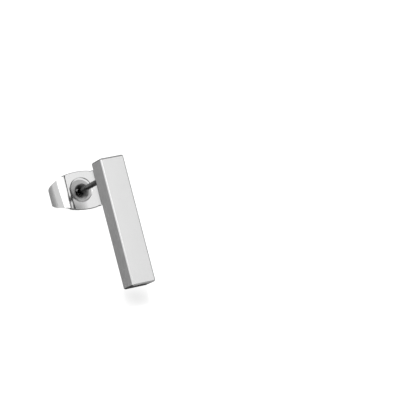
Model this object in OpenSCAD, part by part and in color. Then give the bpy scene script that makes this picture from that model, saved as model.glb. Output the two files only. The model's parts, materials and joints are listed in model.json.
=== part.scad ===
// Bar stud earring with a butterfly clutch on its post, as it stands by itself unworn.
// Millimetres, +Z up. The bar leans back like an easel: it rests on the edge between its
// lower end and its back, and on the backs of the clutch's two curls.
// The origin is on that surface, under the middle of the whole object's box.

/* [Bar] */
// Length of the bar
bar_length = 15; // [13:0.1:18]
// Width of the bar, side to side
bar_width = 3; // [2:0.1:4]
// Thickness of the bar, front to back
bar_thickness = 2.5; // [1.5:0.1:3]
// Width of the small bevel along every edge of the bar
bar_bevel = 0.15; // [0.05:0.01:0.3]

/* [Post] */
// Diameter of the post
post_diameter = 0.65; // [0.5:0.01:0.8]
// Distance from the bar's top end down to the post's axis
post_from_top = 1.85; // [1:0.05:2.5]
// Length of post that stands out behind the clutch
post_overhang = 0.4; // [0.2:0.05:0.6]
// Radius of the dome at the post's tip
tip_dome_radius = 0.45; // [0.42:0.01:0.8]
// Height and width of the bead of solder round the post's root
solder_leg = 0.15; // [0.05:0.01:0.3]
// Depth of the rounded groove that the clutch's throat clicks into
groove_depth = 0.07; // [0.03:0.01:0.1]
// Length of that groove along the post
groove_length = 0.8; // [0.6:0.05:0.9]

/* [Clutch plate] */
// Gap for the ear lobe, from the bar's back to the clutch's plate
lobe_gap = 7.5; // [6:0.1:8]
// Thickness of the strip that the clutch is bent from
strip_thickness = 0.28; // [0.2:0.01:0.35]
// Height of the plate at its middle
plate_height = 4.75; // [4:0.05:5]
// How far the plate's upper and lower edges bow out at their middle
plate_bow = 0.2; // [0.1:0.05:0.4]
// Distance from the post's axis to the line where a curl starts
plate_half_width = 1.8; // [1.7:0.01:2]
// Width of the pressed rib beside each curl
rib_width = 0.4; // [0.2:0.05:0.45]
// Height of that rib above the plate
rib_height = 0.07; // [0.03:0.01:0.1]

/* [Clutch funnel] */
// Diameter of the round dish that is pressed into the plate
dish_diameter = 2.9; // [2.6:0.1:3.2]
// Depth of that dish
dish_depth = 0.12; // [0.05:0.01:0.2]
// Diameter of the funnel's mouth inside the dish
funnel_diameter = 1.9; // [1.7:0.05:2.1]
// Radial gap between the post and the funnel's throat
throat_gap = 0.07; // [0.03:0.01:0.1]
// Length of the straight throat behind the funnel
throat_length = 0.18; // [0.1:0.01:0.25]

/* [Clutch curls] */
// Outer radius of a curl
curl_radius = 1.45; // [1.35:0.05:1.6]
// Height of a curl at its outermost line
curl_outer_height = 2.4; // [2.1:0.05:2.6]
// Height of a curl at its rearmost line
curl_back_height = 1.9; // [1.6:0.05:2.1]
// Height of the strip's end, beside the post
strip_end_height = 1.5; // [1.2:0.1:1.8]
// Length of the flat between the outer bend and the return bend
curl_flat = 0.2; // [0.05:0.05:0.3]
// Gap between the return bend and the post
grip_gap = 0.05; // [0.03:0.01:0.1]
// How far the return bend turns, in degrees
return_turn = 110; // [95:1:115]

/* [Hidden] */
$fn = 96;
// Sides of a large round of which only a short arc shows
long_arc_fn = 360;
// Overlap of cutting shapes past the surfaces that they cut
past = 1;

post_radius = post_diameter / 2;
post_height = bar_length - post_from_top;
clutch_depth = 2 * curl_radius;
post_length = lobe_gap + clutch_depth + post_overhang;

plate_side_height = plate_height - 2 * plate_bow;
plate_arc_radius = (plate_half_width ^ 2 + plate_bow ^ 2) / (2 * plate_bow);
dish_radius = dish_diameter / 2;
funnel_radius = funnel_diameter / 2;
throat_radius = post_radius + throat_gap;
// The funnel's wall is a quarter round from the dish to the throat
flare = funnel_radius - throat_radius;
throat_start = dish_depth + flare;
throat_end = throat_start + throat_length;
// Steep side of a rib, as a share of its width
rib_crest_share = 0.2;

return_radius = plate_half_width - curl_flat - post_radius - grip_gap;
// How much height the strip loses with each degree of the outer bend
narrowing = (plate_side_height - curl_outer_height) / 90;
// Steps that each bend of a curl is swept in
bend_steps = 24;

groove_radius = (groove_length ^ 2 / 4 + groove_depth ^ 2) / (2 * groove_depth);
groove_middle = lobe_gap + throat_start;

// Where the object stands: the bar's lower back edge, and the lower edge of the curls
foot = [0, bar_bevel];
heel = [lobe_gap + clutch_depth, post_height - curl_back_height / 2];
lean = atan2(heel[1] - foot[1], heel[0] - foot[0]);
foremost = min(
    (bar_bevel - bar_thickness) * cos(lean),
    bar_bevel * sin(lean) - bar_thickness * cos(lean)
);
rearmost = heel[0] * cos(lean) + (post_height + curl_back_height / 2) * sin(lean);

// Sets down what is modelled upright, with the bar's back at Y = 0 and its lower end at Z = 0
module stand() {
    translate([0, -(foremost + rearmost) / 2, -foot[1] * cos(lean)])
        rotate([-lean, 0, 0])
            children();
}

// Box from the origin's middle, with a 45 degree bevel along all its edges
module bevelled_box(size, bevel) {
    intersection() {
        bevelled_prism(size.x, size.y, size.z, bevel);
        rotate([0, 90, 0]) bevelled_prism(size.z, size.y, size.x, bevel);
        rotate([90, 0, 0]) bevelled_prism(size.x, size.z, size.y, bevel);
    }
}

module bevelled_prism(width, depth, height, bevel) {
    x = width / 2;
    y = depth / 2;
    linear_extrude(height = height, center = true)
        polygon([
            [x, bevel - y], [x, y - bevel], [x - bevel, y], [bevel - x, y],
            [-x, y - bevel], [-x, bevel - y], [bevel - x, -y], [x - bevel, -y]
        ]);
}

module bar_body() {
    translate([0, -bar_thickness / 2, bar_length / 2])
        bevelled_box([bar_width, bar_thickness, bar_length], bar_bevel);
}

// The post stands on the XY plane and points up
module post() {
    intersection() {
        rotate_extrude()
            difference() {
                polygon([
                    [0, -bar_thickness / 2], [post_radius, -bar_thickness / 2],
                    [post_radius, post_length + past], [0, post_length + past]
                ]);
                translate([post_radius - groove_depth + groove_radius, groove_middle])
                    circle(r = groove_radius, $fn = long_arc_fn);
            }
        translate([0, 0, post_length - tip_dome_radius]) {
            sphere(r = tip_dome_radius);
            mirror([0, 0, 1])
                cylinder(r = post_diameter, h = post_length + bar_thickness);
        }
    }
}

module solder_bead() {
    rotate_extrude()
        polygon([
            [0, -bar_thickness / 2], [post_radius, -bar_thickness / 2],
            [post_radius + solder_leg, 0], [post_radius, solder_leg], [0, solder_leg]
        ]);
}

module bar_with_post() {
    color("lightgray")
        stand() {
            bar_body();
            translate([0, 0, post_height])
                rotate([-90, 0, 0]) {
                    post();
                    solder_bead();
                }
        }
}

// The clutch is modelled with the post along +Y and the plate's front face at Y = 0
module plate_blank() {
    width = 2 * plate_half_width;
    lift = plate_arc_radius - plate_height / 2;
    intersection() {
        translate([-plate_half_width, -rib_height, -plate_height])
            cube([width, rib_height + strip_thickness, 2 * plate_height]);
        edge_round(lift);
        mirror([0, 0, 1]) edge_round(lift);
        linear_extrude(height = 2 * plate_height, center = true)
            polygon(plate_section());
    }
}

// Round that gives the plate its bowed upper edge
module edge_round(lift) {
    translate([0, -past, -lift])
        rotate([-90, 0, 0])
            cylinder(r = plate_arc_radius, h = 2 * past + strip_thickness, $fn = long_arc_fn);
}

// Section of the plate from above, with a rib beside each curl
function rib_side(side) = [
    [side * (plate_half_width - rib_width), 0],
    [side * (plate_half_width - rib_width * (1 - rib_crest_share)), -rib_height],
    [side * plate_half_width, 0]
];

function plate_section() = concat(
    rib_side(1),
    [[plate_half_width, strip_thickness], [-plate_half_width, strip_thickness]],
    [for (i = [2:-1:0]) rib_side(-1)[i]]
);

// Outer skin of the dish, funnel and throat, as a solid of revolution along +Z
module funnel_outside() {
    sleeve = throat_radius + strip_thickness;
    rotate_extrude()
        difference() {
            polygon([
                [0, 0], [dish_radius, 0], [dish_radius, strip_thickness],
                [funnel_radius, dish_depth + strip_thickness],
                [funnel_radius, throat_start], [sleeve, throat_start],
                [sleeve, throat_end], [0, throat_end]
            ]);
            translate([funnel_radius, throat_start])
                circle(r = flare - strip_thickness);
        }
}

module funnel_inside() {
    rotate_extrude()
        difference() {
            polygon([
                [0, -past], [dish_radius, -past], [dish_radius, 0],
                [funnel_radius, dish_depth], [funnel_radius, throat_start],
                [throat_radius, throat_start], [throat_radius, throat_end + past],
                [0, throat_end + past]
            ]);
            translate([funnel_radius, throat_start]) circle(r = flare);
        }
}

// A curl is the strip's end, swept round two bends and kept square to its path.
// Corners of the strip's section where its outer face is at radius and angle about a centre
function strip_section(centre, radius, angle, height) = [
    for (corner = [[0, -1], [0, 1], [1, 1], [1, -1]])
        let (reach = radius - corner.x * strip_thickness)
            [
                centre.x + reach * cos(angle), centre.y + reach * sin(angle),
                corner.y * height / 2
            ]
];

// Height of the strip after the outer bend has turned so far
function outer_height(turn) =
    max(plate_side_height - turn * narrowing, curl_back_height);

function curl_points() = concat(
    [
        for (i = [0:bend_steps])
            let (turn = 180 * i / bend_steps)
                each strip_section([0, 0], curl_radius, turn - 90, outer_height(turn))
    ],
    [
        for (i = [0:bend_steps])
            let (share = i / bend_steps)
                each strip_section(
                    [-curl_flat, curl_radius - return_radius],
                    return_radius, 90 + return_turn * share,
                    curl_back_height + share * (strip_end_height - curl_back_height)
                )
    ]
);

module curl() {
    points = curl_points();
    last = len(points) - 4;
    sides = [
        for (i = [0:4:last - 4], k = [0:3])
            let (next = (k + 1) % 4)
                each [[i + k, i + next, i + 4 + next], [i + k, i + 4 + next, i + 4 + k]]
    ];
    ends = [[3, 2, 1, 0], [last, last + 1, last + 2, last + 3]];
    translate([plate_half_width, curl_radius, 0])
        polyhedron(points = points, faces = concat(sides, ends), convexity = 6);
}

module clutch() {
    color("silver")
        stand()
            translate([0, lobe_gap, post_height]) {
                difference() {
                    union() {
                        plate_blank();
                        rotate([-90, 0, 0]) funnel_outside();
                    }
                    rotate([-90, 0, 0]) funnel_inside();
                }
                curl();
                mirror([1, 0, 0]) curl();
            }
}

bar_with_post();
clutch();
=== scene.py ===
import json
import math
from collections import namedtuple
from itertools import product

import bmesh
import bpy
import numpy as np
from mathutils import Matrix, Quaternion, Vector


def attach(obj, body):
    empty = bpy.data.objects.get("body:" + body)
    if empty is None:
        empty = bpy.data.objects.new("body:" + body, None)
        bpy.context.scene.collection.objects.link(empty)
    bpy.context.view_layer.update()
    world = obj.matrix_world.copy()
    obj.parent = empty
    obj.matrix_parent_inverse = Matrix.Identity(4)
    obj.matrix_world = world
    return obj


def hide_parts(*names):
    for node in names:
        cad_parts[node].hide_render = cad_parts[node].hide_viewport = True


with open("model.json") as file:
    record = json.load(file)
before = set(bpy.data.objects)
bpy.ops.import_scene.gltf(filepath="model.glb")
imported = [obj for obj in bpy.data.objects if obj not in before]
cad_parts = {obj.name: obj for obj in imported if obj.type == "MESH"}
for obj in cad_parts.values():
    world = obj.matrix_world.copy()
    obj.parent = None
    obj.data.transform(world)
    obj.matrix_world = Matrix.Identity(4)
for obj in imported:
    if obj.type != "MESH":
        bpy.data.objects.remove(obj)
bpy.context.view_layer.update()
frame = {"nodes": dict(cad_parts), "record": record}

# Shapes are made in millimetres, in the stud's own frame: X across the bar, Y along the post from
# the bar's back, Z up along the bar from the post. TO_ROW carries them into the frame, in metres.
MM = 0.001
mounts = {mount["name"]: mount for mount in frame["record"]["mounts"]}
post_axis = Vector(mounts["ear_post"]["axis"]).normalized()
post_middle = Vector(mounts["ear_post"]["pos_m"])
seat_middle = Vector(mounts["lobe_seat"]["pos_m"])
across = Vector((1, 0, 0))
bar_up = across.cross(post_axis)
root = post_middle - post_axis * (post_middle - seat_middle).dot(post_axis)
lean = math.atan2(-post_axis.z, post_axis.y)
own_axes = Matrix((across, post_axis, bar_up)).transposed()
TO_ROW = Matrix.Translation(root) @ own_axes.to_4x4() @ Matrix.Scale(MM, 4)


def own_box(node):
    """Lowest and highest corner of a CAD node in the stud's own frame."""
    to_own = TO_ROW.inverted()
    points = np.array([to_own @ v.co for v in frame["nodes"][node].data.vertices])
    return Vector(points.min(0)), Vector(points.max(0))


stud_low, stud_high = own_box("bar_with_post")
clutch_low, clutch_high = own_box("clutch")

# Bar, in millimetres
END_BEVEL = 0.15
FRONT_BEVEL = 0.12
REAR_BEVEL = 0.06
BEVEL_SOFTENING = 0.025

# Post, in millimetres
POST_RADIUS = mounts["ear_post"]["dims"]["r_mm"]
# How deep the post sits in the bar
POST_SUNK = 0.2
SOLDER_LEG = 0.15
GROOVE_DEPTH = 0.07
GROOVE_LENGTH = 0.8
# From the front of the clutch's plate to the groove's middle
GROOVE_BEHIND_PLATE = 0.675
TIP_DOME_RADIUS = 0.45
# The shaft ends this far before the dome, which starts at this share of its angle, so the rim is soft
TIP_SOFTENING = 0.03
DOME_SHARE = 0.97

# Clutch, in millimetres and degrees
STRIP = 0.28
EDGE_ROUNDING = 0.08
# The strip's edges are rounded where its faces meet more sharply than this
SHARP_ANGLE = 50
# The plate's rims are painted as cut edge where they lie back by more than this share of the rounding
ROUNDED_SHARE = 0.05
# The solid has a rib in front of its plate. Here the crest and the raised corner take its place
RIB_HEIGHT = 0.07
# How far the plate's top and bottom edges bow out
PLATE_BOW = 0.2
# The plate's lower edge runs up towards its left side, from this x on
BOTTOM_RISE = 0.28
BOTTOM_RISE_FROM = 1.6
# The left curl keeps this share of it
CURL_RISE = 0.5

# Relief of the plate's left side: a thin crest, and a lower corner that is raised behind a crease.
# A span tells how far left of the hole a step starts and ends
CREST_HEIGHT = 0.038
CREST_SPAN = (1.57, 1.69)
CREASE_HEIGHT = 0.05
CREASE_SPAN = (1.29, 1.43)
# Both lie this much further left at the plate's foot
CREST_SPREAD = 0.19
CREASE_SPREAD = 0.03
# The corner rises leftwards from this x, ever more steeply, and from the crease on by a slope
CORNER_HEIGHT = 0.115
CORNER_FOOT = 0.5
CORNER_POWER = 1.5
BAND_SLOPE = 0.05
# Heights between which the corner and the crease fade out upwards
CORNER_FADES = (-2.6, 1.8)
CREASE_FADES = (-1.4, 1.2)
# Degrees of the left curl's turn over which the relief fades out
RELIEF_FADES = (18, 75)

# Dish round the hole: a step at its rim, and then a gentle slope down to the funnel's mouth
DISH_RADIUS = 1.45
DISH_STEP_WIDTH = 0.08
DISH_STEP_DEPTH = 0.03
DISH_DEPTH = 0.045
# Radii between which the dish starts to follow the plate's relief
DISH_FOLLOWS = (1.32, 1.45)
# The first ring of the dish's back lies this far outside the funnel's mouth
DISH_BACK_START = 0.001
# The dish and the funnel's mouth are pressed a little off the hole's middle, each its own way
DISH_OFFSET = (0.12, 0.18)
MOUTH_OFFSET = (0.18, -0.04)
# Radii between which the funnel's own shift fades in
MOUTH_FADES = (0.42, 0.85)

# Funnel: a round lip, a cone, and a bend into the throat
MOUTH_RADIUS = 0.98
LIP_RADIUS = 0.3
CONE_SLOPE = 50
CONE_RADIUS = 0.5
THROAT_GAP = 0.07
THROAT_LENGTH = 0.08
# The funnel ends before this depth, and the ends of the curls lie behind it
FUNNEL_LIMIT = 1.0

# Curls: an outer bend of half a turn, a flat stretch, and a bend that returns to the post. The heights
# are the strip's at the side, at the back and at its end
CURL_OUTER_HEIGHT = 2.4
CURL_BACK_HEIGHT = 1.9
STRIP_END_HEIGHT = 1.5
CURL_FLAT = 0.2
RETURN_TURN = 110
GRIP_GAP = 0.05
# The right curl starts a little beyond the plate
RIGHT_FLAT = 0.35
# The left curl starts with a kink and a flat facet, and is round again after so many degrees
KINK = 14
KINK_REJOINS = 40

plate_front = clutch_low.y + RIB_HEIGHT
plate_half_height = clutch_high.z
curl_radius = (clutch_high.y - plate_front) / 2
plate_half_width = clutch_high.x - curl_radius
side_half_height = plate_half_height - PLATE_BOW
plate_arc_radius = (plate_half_width ** 2 + PLATE_BOW ** 2) / (2 * PLATE_BOW)
throat_radius = POST_RADIUS + THROAT_GAP
groove_middle = plate_front + GROOVE_BEHIND_PLATE
return_radius = plate_half_width - CURL_FLAT - POST_RADIUS - GRIP_GAP
kink_slope = math.radians(KINK)
kink_rejoin = curl_radius * math.radians(KINK_REJOINS)
facet_length = kink_slope * kink_rejoin / (kink_rejoin / curl_radius - kink_slope)
facet_inset = facet_length * kink_slope - facet_length ** 2 / (2 * curl_radius)

# How strongly large faces set the shading, up to 100
LARGE_FACE_WEIGHT = 100

# Steps of the meshes
POST_SIDES = 64
SOLDER_STEPS = 8
SHAFT_STEPS = 23
GROOVE_STEPS = 16
TAIL_STEPS = 7
DOME_STEPS = 10
SIDE_STEPS = 56
TOP_STEPS = 40
FUNNEL_BEND_STEPS = 10
CONE_STEPS = 12
THROAT_STEPS = 2
DISH_STEPS = 14
OUTSIDE_STEPS = 36
OUTER_BEND_STEPS = 40
RETURN_BEND_STEPS = 28

# Where each finish stands in the material lists of the bar, the post and the clutch
BAR_FRONT, BAR_SIDES, BAR_BEVELS, BAR_ENDS = range(4)
POST_SHAFT, POST_SOLDER = range(2)
CLUTCH_STRIP, CLUTCH_DISH, CLUTCH_CUT = range(3)

# Finishes of the steel: its tone, from 0 to 1, and its roughness, each with how far it varies to both
# sides, how often the grain changes in a millimetre along itself and across, the depth of the grain in
# millimetres, and how strongly it draws out the reflections
Finish = namedtuple("Finish", "tone tone_spread roughness roughness_spread along across depth brushed")
FINISHES = {
    "satin_steel": Finish(0.725, 0.006, 0.2, 0.02, 0.3, 8.0, 0.0004, 0.3),
    "brushed_steel": Finish(0.69, 0.07, 0.25, 0.05, 0.35, 14.0, 0.002, 0.6),
    # Front bevels: lighter than the front, a painted highlight along the edges
    "edge_painted_highlight": Finish(0.84, 0.01, 0.15, 0.02, 0.5, 8.0, 0.0003, 0.0),
    # Ends and most bevels round them: a dark tone, painted shade
    "end_painted_shade": Finish(0.13, 0.03, 0.25, 0.04, 2.0, 9.0, 0.002, 0.2),
    # Post: a near black tone, a painted dark reflection of the shade round it
    "wire_painted_dark_reflection": Finish(0.055, 0.012, 0.15, 0.02, 0.6, 9.0, 0.0004, 0.2),
    "solder": Finish(0.25, 0.04, 0.35, 0.06, 3.0, 3.0, 0.003, 0.0),
    "rolled_strip": Finish(0.72, 0.015, 0.16, 0.02, 0.4, 10.0, 0.0004, 0.2),
    "pressed_dish": Finish(0.56, 0.02, 0.36, 0.03, 3.0, 3.0, 0.0006, 0.0),
    "sheared_edge": Finish(0.36, 0.03, 0.3, 0.04, 3.0, 6.0, 0.0008, 0.0),
}
# Little light reaches the funnel, so shade is painted there. Its steel has this share of its tone
# inside the first of two distances from the mouth's middle, and all of it outside the second
HOLE_PAINTED_SHADE = 0.45
HOLE_PAINTED_SHADE_FADES = (0.6, 1.0)
# Shares of the noises that make up the steel's tone and relief, and how often the clouds and the
# pits change in a millimetre
STREAK_SHARE = 0.6
CLOUD_SHARE = 0.4
PIT_SHARE = 0.5
CLOUD_SCALE = 0.9
PIT_SCALE = 14.0
# The noises stay mostly between these values
NOISE_SPAN = (0.3, 0.7)

# Studio: how bright the steel sees it, where 1 is white. A side is an azimuth and an elevation, and
# the fades of what is lit or dark there are in degrees from its middle
ROOM = 0.1
# The left wall. Its fades are how far to the right a direction points, from -1 to 1
LEFT_WALL = 0.75
LEFT_WALL_FADES = (-0.7, 0.1)
# The dark side in front
DARK_SIDE = (0, 21)
DARK_SIDE_FADES = (28, 42)
DARK_SIDE_DEPTH = 0.85
# The lit panel overhead. Its edges are slopes: so far sideways or backwards for each step up
PANEL = 1.06
PANEL_LEFT = (-1.04, -0.96)
PANEL_RIGHT = (0.61, 0.86)
PANEL_FRONT = (-1.0, -0.8)
PANEL_REAR = (-0.4, -0.2)
# Its left part is brighter
PANEL_EXTRA = 0.35
PANEL_EXTRA_FADES = (0.25, 0.55)
# Directions that point lower than this are taken to point this high
HORIZON = 0.01
# The lit card behind, which the floor mirrors to the camera
CARD = 1.8
CARD_SIDE = (143.8, 36)
CARD_FADES = (16, 32)
# The low card in front on the right
FRONT_CARD = 0.9
FRONT_CARD_SIDE = (33, 30)
FRONT_CARD_FADES = (8, 17)

# Floor. It reaches this many metres to each side
FLOOR_REACH = 6
# The even light that falls on it
FLOOR_LIGHT = 0.45
# How white the camera sees it, far from the bar's foot and at the foot, where painted shade dims it
FLOOR_GLOW = 1.0
FLOOR_GLOW_IN_FOOT_SHADE = 0.6
# Millimetres from the left part of the bar's foot, over which the painted shade fades out
FOOT_SHADE_FADES = (0.2, 3.0)
FLOOR_SHINE = 0.1
FLOOR_SHINE_ROUGHNESS = 0.2
FLOOR_TONE = 0.8
FLOOR_ROUGHNESS = 0.12

# The photo's camera: the point it looks at and its distance in millimetres, its side as azimuth and
# elevation, its roll in degrees, its lens and sensor in millimetres, and its clipping in metres
CAMERA_AIM = (10.53, -2.26, 5.97)
CAMERA_DISTANCE = 290.3
CAMERA_SIDE = (-36.03, 36.17)
CAMERA_ROLL = 11.88
CAMERA_LENS = 225
CAMERA_SENSOR = 36
CAMERA_CLIP = (0.01, 20)


def clamp(value, low, high):
    """The value, or the nearer of low and high where it lies outside them."""
    return min(high, max(low, value))


def smooth_step(low, high, x):
    """0 below low, 1 above high and smooth between."""
    t = clamp((x - low) / (high - low), 0.0, 1.0)
    return t * t * (3 - 2 * t)


def steps(start, end, count):
    """So many even steps from start to end, without the start itself."""
    return np.linspace(start, end, count + 1)[1:]


def piece_from(bm, name, materials):
    """A new object from a bmesh in the stud's own frame, smooth but with its flat faces kept flat."""
    bm.transform(TO_ROW)
    mesh = bpy.data.meshes.new(name)
    bm.to_mesh(mesh)
    bm.free()
    for polygon in mesh.polygons:
        polygon.use_smooth = True
    for material in materials:
        mesh.materials.append(material)
    piece = bpy.data.objects.new(name, mesh)
    bpy.context.scene.collection.objects.link(piece)
    normals = piece.modifiers.new("weighted normals", "WEIGHTED_NORMAL")
    normals.weight = LARGE_FACE_WEIGHT
    return piece


def write_grain(bm, place_of):
    """Writes the map that the grain follows. place_of(face, vert) is a place in it, in millimetres."""
    layer = bm.loops.layers.uv.new("grain")
    for face in bm.faces:
        for loop in face.loops:
            loop[layer].uv = place_of(face, loop.vert)


def edge_bevels():
    """The bar's twelve edges, each as the signs of the two sides that meet in it, and its bevel."""
    for first, second in ((0, 1), (0, 2), (1, 2)):
        for sign_first, sign_second in product((-1, 1), repeat=2):
            signs = [0, 0, 0]
            signs[first], signs[second] = sign_first, sign_second
            long_bevel = REAR_BEVEL if signs[1] == 1 else FRONT_BEVEL
            yield Vector(signs), END_BEVEL if signs[2] else long_bevel


def bar_finish(normal):
    """Which finish a face of the bar has: painted highlight on the front bevels, painted shade on the ends.
    The bevel of the upper end counts as part of that end.
    """
    flat, tilted = 0.999, 0.3
    if normal.y < -flat:
        return BAR_FRONT
    # The upper end and all its bevels get the painted shade
    if normal.z > tilted:
        return BAR_ENDS
    # The front bevels below the top get the painted highlight
    if normal.y < -tilted:
        return BAR_BEVELS
    # The lower end and its bevels but the front one get the painted shade
    if normal.z < -tilted:
        return BAR_ENDS
    return BAR_SIDES


def bar_grain(face, vert):
    """The bar's grain runs along it."""
    sideways = vert.co.x if abs(face.normal.y) > abs(face.normal.x) else vert.co.y
    return vert.co.z, sideways


def bar_mesh():
    """The square-edged bar with a flat bevel along each edge, and the bevels' own edges softened."""
    low = Vector((stud_low.x, stud_low.y, stud_low.z))
    high = Vector((stud_high.x, 0, stud_high.z))
    size, middle = high - low, (high + low) / 2
    bm = bmesh.new()
    bmesh.ops.create_cube(bm, size=1, matrix=Matrix.Translation(middle) @ Matrix.Diagonal((*size, 1)))
    for signs, bevel in edge_bevels():
        corner = middle + Vector(half * sign for half, sign in zip(size / 2, signs))
        cut = bmesh.ops.bisect_plane(
            bm, geom=bm.verts[:] + bm.edges[:] + bm.faces[:], clear_outer=True,
            plane_co=corner - signs * bevel / 2, plane_no=signs.normalized(),
        )
        rim = [e for e in cut["geom_cut"] if isinstance(e, bmesh.types.BMEdge)]
        bmesh.ops.holes_fill(bm, edges=rim, sides=0)
    bmesh.ops.bevel(
        bm, geom=bm.edges[:], offset=BEVEL_SOFTENING, offset_type="OFFSET", segments=2,
        profile=0.5, affect="EDGES", clamp_overlap=True,
    )
    bmesh.ops.recalc_face_normals(bm, faces=bm.faces[:])
    for face in bm.faces:
        face.material_index = bar_finish(face.normal)
    write_grain(bm, bar_grain)
    return bm


def post_profile():
    """Radius and distance along the post, from inside the bar to just before the tip."""
    foot_radius = POST_RADIUS + SOLDER_LEG
    points = [(foot_radius, -POST_SUNK), (foot_radius, 0)]
    for turn in steps(0, math.pi / 2, SOLDER_STEPS):
        points.append((foot_radius - SOLDER_LEG * math.sin(turn), SOLDER_LEG * (1 - math.cos(turn))))
    start, end = groove_middle - GROOVE_LENGTH / 2, groove_middle + GROOVE_LENGTH / 2
    points += [(POST_RADIUS, u) for u in steps(SOLDER_LEG, start, SHAFT_STEPS)]
    groove_radius = (GROOVE_LENGTH ** 2 / 4 + GROOVE_DEPTH ** 2) / (2 * GROOVE_DEPTH)
    for u in steps(start, end, GROOVE_STEPS):
        chord = math.sqrt(groove_radius ** 2 - (u - groove_middle) ** 2)
        points.append((POST_RADIUS - chord + groove_radius - GROOVE_DEPTH, u))
    dome_angle = math.asin(POST_RADIUS / TIP_DOME_RADIUS)
    dome_centre = stud_high.y - TIP_DOME_RADIUS
    shoulder = dome_centre + TIP_DOME_RADIUS * math.cos(dome_angle)
    points += [(POST_RADIUS, u) for u in steps(end, shoulder - TIP_SOFTENING, TAIL_STEPS)]
    for turn in np.linspace(dome_angle * DOME_SHARE, 0, DOME_STEPS, endpoint=False):
        points.append((TIP_DOME_RADIUS * math.sin(turn), dome_centre + TIP_DOME_RADIUS * math.cos(turn)))
    return points


def post_grain(face, vert):
    """The post's grain runs along it."""
    return vert.co.y, math.atan2(vert.co.z, vert.co.x) * POST_RADIUS


def post_mesh():
    """The ear post as a turned body, with solder at its root, the groove and the domed tip."""
    bm = bmesh.new()
    rings = []
    for radius, u in post_profile():
        rings.append([
            bm.verts.new((radius * math.cos(a), u, radius * math.sin(a)))
            for a in np.linspace(0, 2 * math.pi, POST_SIDES, endpoint=False)
        ])
    for near, far in zip(rings, rings[1:]):
        for k in range(POST_SIDES):
            n = (k + 1) % POST_SIDES
            bm.faces.new((near[k], far[k], far[n], near[n]))
    bm.faces.new(rings[0])
    tip = bm.verts.new((0, stud_high.y, 0))
    last = rings[-1]
    for k in range(POST_SIDES):
        bm.faces.new((last[k], tip, last[(k + 1) % POST_SIDES]))
    bmesh.ops.recalc_face_normals(bm, faces=bm.faces[:])
    for face in bm.faces:
        in_solder = face.calc_center_median().y < SOLDER_LEG
        face.material_index = POST_SOLDER if in_solder else POST_SHAFT
    write_grain(bm, post_grain)
    return bm


def plate_edges(x):
    """Heights of the plate's bottom and top edge."""
    top = plate_half_height - plate_arc_radius + math.sqrt(plate_arc_radius ** 2 - x ** 2)
    rise = BOTTOM_RISE * max(0.0, BOTTOM_RISE_FROM - x) / (BOTTOM_RISE_FROM + plate_half_width)
    return rise - top, top


def plate_drop(x, z):
    """How far the plate's front lies back near its top and bottom edge, which are rounded."""
    bottom, top = plate_edges(clamp(x, -plate_half_width, plate_half_width))
    inside = max(0.0, min(z - bottom, top - z))
    short = max(0.0, EDGE_ROUNDING - inside)
    return EDGE_ROUNDING - math.sqrt(EDGE_ROUNDING ** 2 - short ** 2)


def plate_outline():
    """Outline of the plate, anticlockwise from its lower right corner, without the corner twice."""
    w, h = plate_half_width, side_half_height
    right = [(w, -h + 2 * h * i / SIDE_STEPS) for i in range(SIDE_STEPS)]
    stops = [w - 2 * w * i / TOP_STEPS for i in range(TOP_STEPS)]
    top = [(x, plate_edges(x)[1]) for x in stops]
    left = [(-w, h - (2 * h - BOTTOM_RISE) * i / SIDE_STEPS) for i in range(SIDE_STEPS)]
    bottom = [(-x, plate_edges(-x)[0]) for x in stops]
    return right + top + left + bottom


def relief(x, z):
    """How far the plate stands forward: a crest beside the left curl, and a raised lower left corner."""
    crease_top = CREASE_SPAN[1]
    lowness = 1 - smooth_step(*CORNER_FADES, z)
    climb = clamp((CORNER_FOOT - x) / (CORNER_FOOT + crease_top), 0.0, 1.0)
    corner = CORNER_HEIGHT * climb ** CORNER_POWER + BAND_SLOPE * max(0.0, -x - crease_top)
    crease = CREASE_HEIGHT * smooth_step(*CREASE_SPAN, -x - CREASE_SPREAD * lowness)
    crease *= 1 - smooth_step(*CREASE_FADES, z)
    crest = CREST_HEIGHT * smooth_step(*CREST_SPAN, -x - CREST_SPREAD * lowness)
    return corner * lowness + crease + crest


def sheet_arc(start, arc_radius, slope_from, slope_to):
    """A bend of the sheet's front after start. A point is a radius, a depth and the slope in degrees."""
    points = []
    a = math.radians(slope_from)
    for slope in steps(slope_from, slope_to, FUNNEL_BEND_STEPS):
        b = math.radians(slope)
        radius = start[0] - arc_radius * (math.sin(b) - math.sin(a))
        depth = start[1] + arc_radius * (math.cos(a) - math.cos(b))
        points.append((radius, depth, slope))
    return points


def sheet_line(start, end, slope, count):
    """A straight stretch of the sheet's front after start, in so many steps."""
    radii, depths = (steps(a, b, count) for a, b in zip(start, end))
    return [(radius, depth, slope) for radius, depth in zip(radii, depths)]


def funnel_path():
    """The sheet's front from the funnel's mouth down to the throat's end, as points of sheet_arc."""
    path = sheet_arc((MOUTH_RADIUS, DISH_DEPTH), LIP_RADIUS, 0, CONE_SLOPE)
    radius, depth, slope = path[-1]
    cone_end = (CONE_RADIUS, depth + (radius - CONE_RADIUS) * math.tan(math.radians(slope)))
    path += sheet_line((radius, depth), cone_end, CONE_SLOPE, CONE_STEPS)
    throat_bend = (CONE_RADIUS - throat_radius) / (1 - math.sin(math.radians(CONE_SLOPE)))
    path += sheet_arc(cone_end, throat_bend, CONE_SLOPE, 90)
    radius, depth, slope = path[-1]
    throat_end = (throat_radius, depth + THROAT_LENGTH)
    return path + sheet_line((radius, depth), throat_end, slope, THROAT_STEPS)


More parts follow.
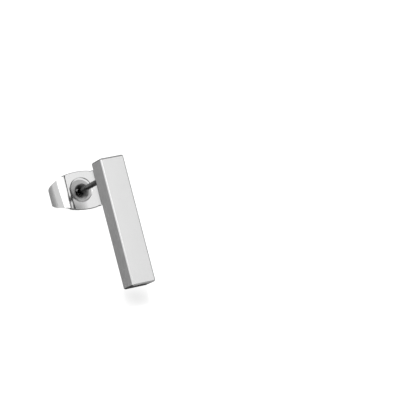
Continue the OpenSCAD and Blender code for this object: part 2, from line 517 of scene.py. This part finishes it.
def dish_profile():
    """Front and back of the sheet round the hole, each as radius and depth, from the throat outwards."""
    rows = []
    for radius, depth, slope in reversed(funnel_path()):
        s, c = math.sin(math.radians(slope)), math.cos(math.radians(slope))
        rows.append(((radius, depth), (radius + STRIP * s, depth + STRIP * c)))
    step_foot = DISH_RADIUS - DISH_STEP_WIDTH
    for radius in np.linspace(MOUTH_RADIUS, DISH_RADIUS, DISH_STEPS + 1):
        share = min(1.0, (radius - MOUTH_RADIUS) / (step_foot - MOUTH_RADIUS))
        floor_depth = DISH_DEPTH + (DISH_STEP_DEPTH - DISH_DEPTH) * share
        depth = floor_depth * (1 - smooth_step(step_foot, DISH_RADIUS, radius))
        back_radius = max(MOUTH_RADIUS + DISH_BACK_START, radius)
        rows.append(((radius, depth), (back_radius, depth + STRIP)))
    return rows


def dish_shift(radius):
    """How far a ring of the dish lies off the hole's middle."""
    mouth = smooth_step(*MOUTH_FADES, radius)
    rim = smooth_step(MOUTH_RADIUS, DISH_RADIUS, radius)
    return [m * mouth * (1 - rim) + d * rim for m, d in zip(MOUTH_OFFSET, DISH_OFFSET)]


def circle(radius, middle, headings):
    """Points of a circle, one in each heading."""
    return [(radius * math.cos(a) + middle[0], radius * math.sin(a) + middle[1]) for a in headings]


def bent_strip(centre, radius, angle):
    """Front and back of the strip where it bends round a centre, each as x and depth."""
    c, s = math.cos(math.radians(angle)), math.sin(math.radians(angle))
    return [(centre[0] + r * c, centre[1] + r * s) for r in (radius, radius - STRIP)]


def outer_height(turn):
    """Height of the strip once the outer bend has turned so many degrees."""
    narrowing = (2 * side_half_height - CURL_OUTER_HEIGHT) / 90
    return max(2 * side_half_height - turn * narrowing, CURL_BACK_HEIGHT)


def kink_inset(turn):
    """How far the left curl lies inside the round bend once that has turned so many degrees."""
    along = curl_radius * math.radians(turn)
    if along < facet_length:
        return along * kink_slope - along ** 2 / (2 * curl_radius)
    return facet_inset * (max(0.0, kink_rejoin - along) / (kink_rejoin - facet_length)) ** 2


def left_outer_bend():
    """Rows of the left curl's outer bend. A row is the strip's front and back, each as x to the side and
    depth, its height, and how much of the plate's relief is left."""
    centre = (plate_half_width, curl_radius)
    rows = []
    for turn in steps(0, 180, OUTER_BEND_STEPS):
        front, back = bent_strip(centre, curl_radius - kink_inset(turn), turn - 90)
        rows.append((front, back, outer_height(turn), 1 - smooth_step(*RELIEF_FADES, turn)))
    return rows


def right_outer_bend():
    """The same of the right curl, which starts flat, and bends more tightly in its first quarter turn."""
    centre = (plate_half_width, curl_radius)
    reach = curl_radius - RIGHT_FLAT
    rows = []
    for turn in np.linspace(0, 180, OUTER_BEND_STEPS + 1):
        front, back = bent_strip(centre, curl_radius, turn - 90)
        if turn <= 90:
            s, c = math.sin(math.radians(turn)), math.cos(math.radians(turn))
            x, depth = centre[0] + RIGHT_FLAT + reach * s, curl_radius * (1 - c)
            length = math.hypot(curl_radius * s, reach * c)
            front = (x, depth)
            back = (x - STRIP * curl_radius * s / length, depth + STRIP * reach * c / length)
        rows.append((front, back, outer_height(turn), 0.0))
    return rows


def return_bend():
    """The same of either curl's last part, which comes back to the post."""
    centre = (plate_half_width - CURL_FLAT, 2 * curl_radius - return_radius)
    rows = []
    for share in np.linspace(0, 1, RETURN_BEND_STEPS + 1):
        front, back = bent_strip(centre, return_radius, 90 + RETURN_TURN * share)
        height = CURL_BACK_HEIGHT + share * (STRIP_END_HEIGHT - CURL_BACK_HEIGHT)
        rows.append((front, back, height, 0.0))
    return rows


class Strip:
    """The clutch's sheet while it is made. Each vertex keeps its place on the flat strip, for the grain."""

    def __init__(self):
        self.bm = bmesh.new()
        self.flat = {}

    def line(self, points):
        """A row of vertices. A point is x, depth behind the plate, height, and place along the strip."""
        row = []
        for x, depth, z, along in points:
            row.append(self.bm.verts.new((x, plate_front + depth, z)))
            self.flat[row[-1]] = (along, z)
        return row

    def skin(self, rows, closed, flip):
        """Faces between rows. Closed rows are rings, and flip turns the faces over."""
        count = len(rows[0])
        for near, far in zip(rows, rows[1:]):
            for k in range(count if closed else count - 1):
                n = (k + 1) % count
                corners = (near[k], near[n], far[n], far[k])
                face = self.bm.faces.new(corners[::-1] if flip else corners)
                face.material_index = CLUTCH_STRIP

    def cut_edge(self, front, back):
        """The strip's cut edge between a line of vertices on its front and one on its back."""
        for k in range(len(front) - 1):
            face = self.bm.faces.new((front[k], front[k + 1], back[k + 1], back[k]))
            face.material_index = CLUTCH_CUT

    def grain(self, face, vert):
        """The strip's grain runs along it."""
        return self.flat[vert]


def add_plate(strip):
    """The plate with the dish and the funnel. Returns the outermost row of its front and its back."""
    outline = plate_outline()
    headings = [math.atan2(z, x) for x, z in outline]
    front, back = [], []
    for (front_radius, front_depth), (back_radius, back_depth) in dish_profile():
        follows = smooth_step(*DISH_FOLLOWS, front_radius)
        middle = dish_shift(front_radius)
        ring = circle(front_radius, middle, headings)
        front.append(strip.line((x, front_depth - follows * relief(x, z), z, x) for x, z in ring))
        ring = circle(back_radius, middle, headings)
        back.append(strip.line((x, back_depth, z, x) for x, z in ring))
    rim = circle(DISH_RADIUS, DISH_OFFSET, headings)
    for share in steps(0, 1, OUTSIDE_STEPS):
        ring = [
            ((1 - share) * rim_x + share * x, (1 - share) * rim_z + share * z)
            for (rim_x, rim_z), (x, z) in zip(rim, outline)
        ]
        front.append(strip.line((x, plate_drop(x, z) - relief(x, z), z, x) for x, z in ring))
        back.append(strip.line((x, STRIP, z, x) for x, z in ring))
    strip.skin(front, closed=True, flip=False)
    strip.skin(back, closed=True, flip=True)
    strip.cut_edge(back[0] + back[0][:1], front[0] + front[0][:1])
    return front[-1], back[-1]


def add_curl(strip, side, plate_front_row, plate_back_row):
    """The curl on the plate's right or left, where side is 1 or -1, from the plate's rows on that side."""
    outer_bend = right_outer_bend() if side > 0 else left_outer_bend()
    bottom_rise = BOTTOM_RISE if side < 0 else 0.0
    front_rows, back_rows = [plate_front_row], [plate_back_row]
    along = plate_half_width
    last = (plate_half_width, 0)
    for front, back, height, relief_left in outer_bend + return_bend():
        along += math.dist(last, front)
        last = front
        rise = bottom_rise * (CURL_RISE + (1 - CURL_RISE) * relief_left)
        levels = np.linspace(rise - height / 2, height / 2, SIDE_STEPS + 1)
        lifts = [relief_left * relief(side * plate_half_width, z) for z in levels]
        for rows, (x, depth) in ((front_rows, front), (back_rows, back)):
            rows.append(strip.line((side * x, depth - h, z, side * along) for h, z in zip(lifts, levels)))
    strip.skin(front_rows, closed=False, flip=side < 0)
    strip.skin(back_rows, closed=False, flip=side > 0)
    for k in (0, SIDE_STEPS):
        strip.cut_edge([row[k] for row in front_rows], [row[k] for row in back_rows])
    strip.cut_edge(front_rows[-1], back_rows[-1])


def clutch_finish(face):
    """Which finish a face of the clutch has: the dish's, or the cut edge's on the plate's rounded rims."""
    middle = face.calc_center_median()
    depth = middle.y - plate_front
    if math.hypot(middle.x, middle.z) < DISH_RADIUS - DISH_STEP_WIDTH and depth < FUNNEL_LIMIT:
        return CLUTCH_DISH
    on_front = abs(middle.x) < plate_half_width and depth < STRIP / 2
    if on_front and plate_drop(middle.x, middle.z) > ROUNDED_SHARE * EDGE_ROUNDING:
        return CLUTCH_CUT
    return face.material_index


def clutch_mesh():
    """The clutch as one bent sheet with both faces: the plate round the hole, then a curl on each side."""
    strip = Strip()
    front, back = add_plate(strip)
    # The rows start at the plate's lower right corner and go up its right side
    top_left = SIDE_STEPS + TOP_STEPS
    bottom_left = top_left + SIDE_STEPS
    right_side = range(SIDE_STEPS + 1)
    left_side = range(bottom_left, top_left - 1, -1)
    for side, places in ((1, right_side), (-1, left_side)):
        add_curl(strip, side, [front[k] for k in places], [back[k] for k in places])
    top = range(SIDE_STEPS, top_left + 1)
    bottom = [*range(bottom_left, len(front)), 0]
    for places in (top, bottom):
        strip.cut_edge([front[k] for k in places], [back[k] for k in places])
    bm = strip.bm
    write_grain(bm, strip.grain)
    bmesh.ops.recalc_face_normals(bm, faces=bm.faces[:])
    limit = math.radians(SHARP_ANGLE)
    sharp = [e for e in bm.edges if len(e.link_faces) == 2 and e.calc_face_angle() > limit]
    bmesh.ops.bevel(
        bm, geom=sharp, offset=EDGE_ROUNDING, offset_type="OFFSET", segments=3, profile=0.5,
        affect="EDGES", clamp_overlap=True, material=CLUTCH_CUT,
    )
    for face in bm.faces:
        face.material_index = clutch_finish(face)
    return bm


def put(tree, socket, value):
    """Links a value that is a socket to the socket, and sets any other."""
    if isinstance(value, bpy.types.NodeSocket):
        tree.links.new(value, socket)
    else:
        socket.default_value = value


def add_node(tree, kind, settings=None, **inputs):
    """Adds a shader node and puts values in its inputs. Underscores stand for spaces in their names."""
    made = tree.nodes.new("ShaderNode" + kind)
    for key, value in (settings or {}).items():
        setattr(made, key, value)
    for key, value in inputs.items():
        put(tree, made.inputs[key.replace("_", " ")], value)
    return made


def emptied_tree(owner):
    """The node tree of a material or world, with nothing in it."""
    owner.use_nodes = True
    owner.node_tree.nodes.clear()
    return owner.node_tree


def calculate(tree, operation, a, b=0.0):
    """Output of a Math node."""
    made = add_node(tree, "Math", {"operation": operation})
    put(tree, made.inputs[0], a)
    put(tree, made.inputs[1], b)
    return made.outputs[0]


def calculate_vector(tree, operation, a, b):
    """A Vector Math node."""
    made = add_node(tree, "VectorMath", {"operation": operation})
    put(tree, made.inputs[0], a)
    put(tree, made.inputs[1], b)
    return made


def weighted_sum(tree, a, share_a, b, share_b):
    """Shares of two values, added up."""
    parts = [calculate(tree, "MULTIPLY", value, share) for value, share in ((a, share_a), (b, share_b))]
    return calculate(tree, "ADD", *parts)


def ramp_over(tree, value, low, high, start=0.0, end=1.0):
    """start below low, end above high and smooth between."""
    return add_node(
        tree, "MapRange", {"interpolation_type": "SMOOTHSTEP", "clamp": True}, Value=value,
        From_Min=low, From_Max=high, To_Min=start, To_Max=end,
    ).outputs[0]


def own_millimetres(tree):
    """The stud's own frame in millimetres, as a texture vector."""
    place = add_node(tree, "TexCoord").outputs["Object"]
    return add_node(
        tree, "Mapping", {"vector_type": "POINT"}, Vector=place,
        Location=-(own_axes.transposed() @ root) / MM, Rotation=(lean, 0, 0), Scale=(1 / MM,) * 3,
    ).outputs[0]


def painted_hole_shade(tree, own, tone):
    """The tone as it is round the funnel's mouth, and darker inside with painted shade."""
    x, y, z = add_node(tree, "SeparateXYZ", Vector=own).outputs
    offsets = [calculate(tree, "SUBTRACT", value, off) for value, off in zip((x, z), MOUTH_OFFSET)]
    squares = [calculate(tree, "MULTIPLY", offset, offset) for offset in offsets]
    distance = calculate(tree, "SQRT", calculate(tree, "ADD", *squares))
    kept = ramp_over(tree, distance, *HOLE_PAINTED_SHADE_FADES, HOLE_PAINTED_SHADE, 1.0)
    shaded = add_node(tree, "VectorMath", {"operation": "SCALE"}, Scale=kept)
    put(tree, shaded.inputs[0], tone)
    return shaded.outputs[0]


def steel(name, with_hole_shade=False):
    """A material by its name in FINISHES, with a grain along the first direction of the grain map.
    The second argument paints shade into the funnel, where it makes the steel darker."""
    finish = FINISHES[name]
    material = bpy.data.materials.new(name)
    tree = emptied_tree(material)
    grain = add_node(tree, "UVMap", {"uv_map": "grain"}).outputs[0]
    grain = add_node(tree, "Mapping", Vector=grain, Scale=(finish.along, finish.across, 1)).outputs[0]
    own = own_millimetres(tree)
    streaks = add_node(
        tree, "TexNoise", {"noise_dimensions": "2D"}, Vector=grain, Scale=1.0, Detail=5.0, Roughness=0.6,
    ).outputs["Fac"]
    clouds = add_node(
        tree, "TexNoise", Vector=own, Scale=CLOUD_SCALE, Detail=3.0, Roughness=0.5,
    ).outputs["Fac"]
    pits = add_node(
        tree, "TexNoise", Vector=own, Scale=PIT_SCALE, Detail=4.0, Roughness=0.65,
    ).outputs["Fac"]
    blend = weighted_sum(tree, streaks, STREAK_SHARE, clouds, CLOUD_SHARE)
    colour = add_node(tree, "ValToRGB", Fac=blend)
    tones = (finish.tone - finish.tone_spread, finish.tone + finish.tone_spread)
    for stop, position, tone in zip(colour.color_ramp.elements, NOISE_SPAN, tones):
        stop.position = position
        stop.color = (tone, tone, tone, 1)
    rough = add_node(
        tree, "MapRange", {"clamp": True}, Value=blend, From_Min=NOISE_SPAN[0], From_Max=NOISE_SPAN[1],
        To_Min=finish.roughness - finish.roughness_spread,
        To_Max=finish.roughness + finish.roughness_spread,
    ).outputs[0]
    height = calculate(tree, "ADD", streaks, calculate(tree, "MULTIPLY", pits, PIT_SHARE))
    bump = add_node(tree, "Bump", Strength=1.0, Distance=finish.depth * MM, Height=height)
    tangent = add_node(tree, "Tangent", {"direction_type": "UV_MAP", "uv_map": "grain"})
    # Where asked, shade is painted into the tone inside the funnel
    shader = add_node(
        tree, "BsdfPrincipled", Metallic=1.0, Roughness=rough, Anisotropic=finish.brushed,
        Base_Color=painted_hole_shade(tree, own, colour.outputs[0]) if with_hole_shade else colour.outputs[0],
        Normal=bump.outputs[0], Tangent=tangent.outputs[0],
    )
    add_node(tree, "OutputMaterial", Surface=shader.outputs[0])
    return material


def paint_floor(floor):
    """Pale floor. The camera sees it as in an overexposed studio, white with a faint reflection and with
    painted shade round the bar's foot. The steel mirrors it as glossy white board, with the shadows that
    the stud throws on it."""
    material = bpy.data.materials.new("pale_floor")
    tree = emptied_tree(material)
    place = add_node(tree, "TexCoord").outputs["Object"]
    foot = TO_ROW @ Vector((stud_low.x / 2, stud_low.y, stud_low.z))
    away = calculate_vector(tree, "DISTANCE", place, foot).outputs["Value"]
    away = calculate(tree, "DIVIDE", away, MM)
    # Painted shade: the glow drops close to the bar's foot
    strength = ramp_over(tree, away, *FOOT_SHADE_FADES, FLOOR_GLOW_IN_FOOT_SHADE, FLOOR_GLOW)
    glow = add_node(tree, "Emission", Color=(1, 1, 1, 1), Strength=strength)
    shine = add_node(tree, "BsdfGlossy", Color=[FLOOR_SHINE] * 3 + [1], Roughness=FLOOR_SHINE_ROUGHNESS)
    white = add_node(tree, "AddShader")
    put(tree, white.inputs[0], glow.outputs[0])
    put(tree, white.inputs[1], shine.outputs[0])
    board = add_node(
        tree, "BsdfPrincipled", Base_Color=[FLOOR_TONE] * 3 + [1], Roughness=FLOOR_ROUGHNESS, IOR=1.5,
    )
    both = add_node(tree, "MixShader", Fac=add_node(tree, "LightPath").outputs["Is Camera Ray"])
    put(tree, both.inputs[1], board.outputs[0])
    put(tree, both.inputs[2], white.outputs[0])
    add_node(tree, "OutputMaterial", Surface=both.outputs[0])
    floor.data.materials.append(material)


def add_floor():
    """The floor, which is staging and no part of the stud."""
    bm = bmesh.new()
    bmesh.ops.create_grid(bm, x_segments=1, y_segments=1, size=FLOOR_REACH)
    mesh = bpy.data.meshes.new("floor")
    bm.to_mesh(mesh)
    bm.free()
    made = bpy.data.objects.new("floor", mesh)
    bpy.context.scene.collection.objects.link(made)
    paint_floor(made)


def direction(azimuth, elevation):
    """Unit vector towards the side that a view from azimuth and elevation, in degrees, stands on."""
    a, e = math.radians(azimuth), math.radians(elevation)
    return Vector((math.sin(a) * math.cos(e), -math.cos(a) * math.cos(e), math.sin(e)))


def spot_on(tree, towards, side, fades, away, near):
    """The value near in the middle of a side, and the value away outside the fades."""
    inner, outer = (math.cos(math.radians(angle)) for angle in fades)
    along = calculate_vector(tree, "DOT_PRODUCT", towards, direction(*side)).outputs["Value"]
    return ramp_over(tree, along, outer, inner, away, near)


def panel_overhead(tree, x, y, z):
    """Brightness of the panel overhead, with a sharp left edge and soft other edges."""
    height = calculate(tree, "MAXIMUM", z, HORIZON)
    sideways = calculate(tree, "DIVIDE", x, height)
    backwards = calculate(tree, "DIVIDE", y, height)
    shape = ramp_over(tree, sideways, *PANEL_EXTRA_FADES, PANEL + PANEL_EXTRA, PANEL)
    for value, near_edge, far_edge in (
        (sideways, PANEL_LEFT, PANEL_RIGHT),
        (backwards, PANEL_FRONT, PANEL_REAR),
    ):
        shape = calculate(tree, "MULTIPLY", shape, ramp_over(tree, value, *near_edge))
        shape = calculate(tree, "MULTIPLY", shape, ramp_over(tree, value, *far_edge, 1.0, 0.0))
    return shape


def mirrored_room(tree):
    """Brightness of what the steel mirrors: a dark room with a wall, a panel overhead and two cards."""
    towards = add_node(tree, "TexCoord").outputs["Generated"]
    x, y, z = add_node(tree, "SeparateXYZ", Vector=towards).outputs
    wall = ramp_over(tree, x, *LEFT_WALL_FADES, ROOM + LEFT_WALL, ROOM)
    shade = spot_on(tree, towards, DARK_SIDE, DARK_SIDE_FADES, 1.0, 1.0 - DARK_SIDE_DEPTH)
    room = calculate(tree, "MULTIPLY", wall, shade)
    card = spot_on(tree, towards, CARD_SIDE, CARD_FADES, 0.0, CARD)
    front_card = spot_on(tree, towards, FRONT_CARD_SIDE, FRONT_CARD_FADES, 0.0, FRONT_CARD)
    for lit in (panel_overhead(tree, x, y, z), card, front_card):
        room = calculate(tree, "ADD", room, lit)
    return room


def add_studio():
    """The studio is painted on the world: white to the camera, even light for the floor, and a room with
    lit and dark parts for the steel."""
    world = bpy.data.worlds.new("studio")
    bpy.context.scene.world = world
    tree = emptied_tree(world)
    # Each ray finds its own look of the world, so the world isn't sampled as a lamp
    world.cycles.sampling_method = "NONE"
    path = add_node(tree, "LightPath")
    shown = add_node(tree, "Background", Color=(1, 1, 1, 1), Strength=mirrored_room(tree)).outputs[0]
    for ray, strength in (("Is Diffuse Ray", FLOOR_LIGHT), ("Is Camera Ray", 1.0)):
        even = add_node(tree, "Background", Color=(1, 1, 1, 1), Strength=strength)
        either = add_node(tree, "MixShader", Fac=path.outputs[ray])
        put(tree, either.inputs[1], shown)
        put(tree, either.inputs[2], even.outputs[0])
        shown = either.outputs[0]
    add_node(tree, "OutputWorld", Surface=shown)


def add_camera():
    """The photo's camera. It looks past the right of the stud, at the middle of the photo's frame."""
    back = direction(*CAMERA_SIDE)
    roll = Quaternion((0, 0, 1), math.radians(CAMERA_ROLL))
    data = bpy.data.cameras.new("camera")
    data.lens, data.sensor_width = CAMERA_LENS, CAMERA_SENSOR
    data.clip_start, data.clip_end = CAMERA_CLIP
    made = bpy.data.objects.new("camera", data)
    made.location = Vector(CAMERA_AIM) * MM + back * CAMERA_DISTANCE * MM
    made.rotation_mode = "QUATERNION"
    made.rotation_quaternion = (-back).to_track_quat("-Z", "Y") @ roll
    bpy.context.scene.collection.objects.link(made)
    bpy.context.scene.camera = made


add_camera()

# The bevels' lighter tone is a painted highlight, the ends' dark tone painted shade
bar_finishes = [steel("satin_steel"), steel("brushed_steel"), steel("edge_painted_highlight"), steel("end_painted_shade")]
bar = piece_from(bar_mesh(), "bar", bar_finishes)
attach(bar, "stud")
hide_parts("bar_with_post")

# The post's near black shaft is a painted dark reflection
post = piece_from(post_mesh(), "ear_post", [steel("wire_painted_dark_reflection"), steel("solder")])
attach(post, "stud")

# The dish's steel has painted shade inside the funnel
clutch_finishes = [steel("rolled_strip"), steel("pressed_dish", with_hole_shade=True), steel("sheared_edge")]
nut = piece_from(clutch_mesh(), "butterfly_clutch", clutch_finishes)
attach(nut, "clutch")
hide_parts("clutch")

add_floor()
add_studio()
bpy.context.scene.view_settings.view_transform = "Standard"
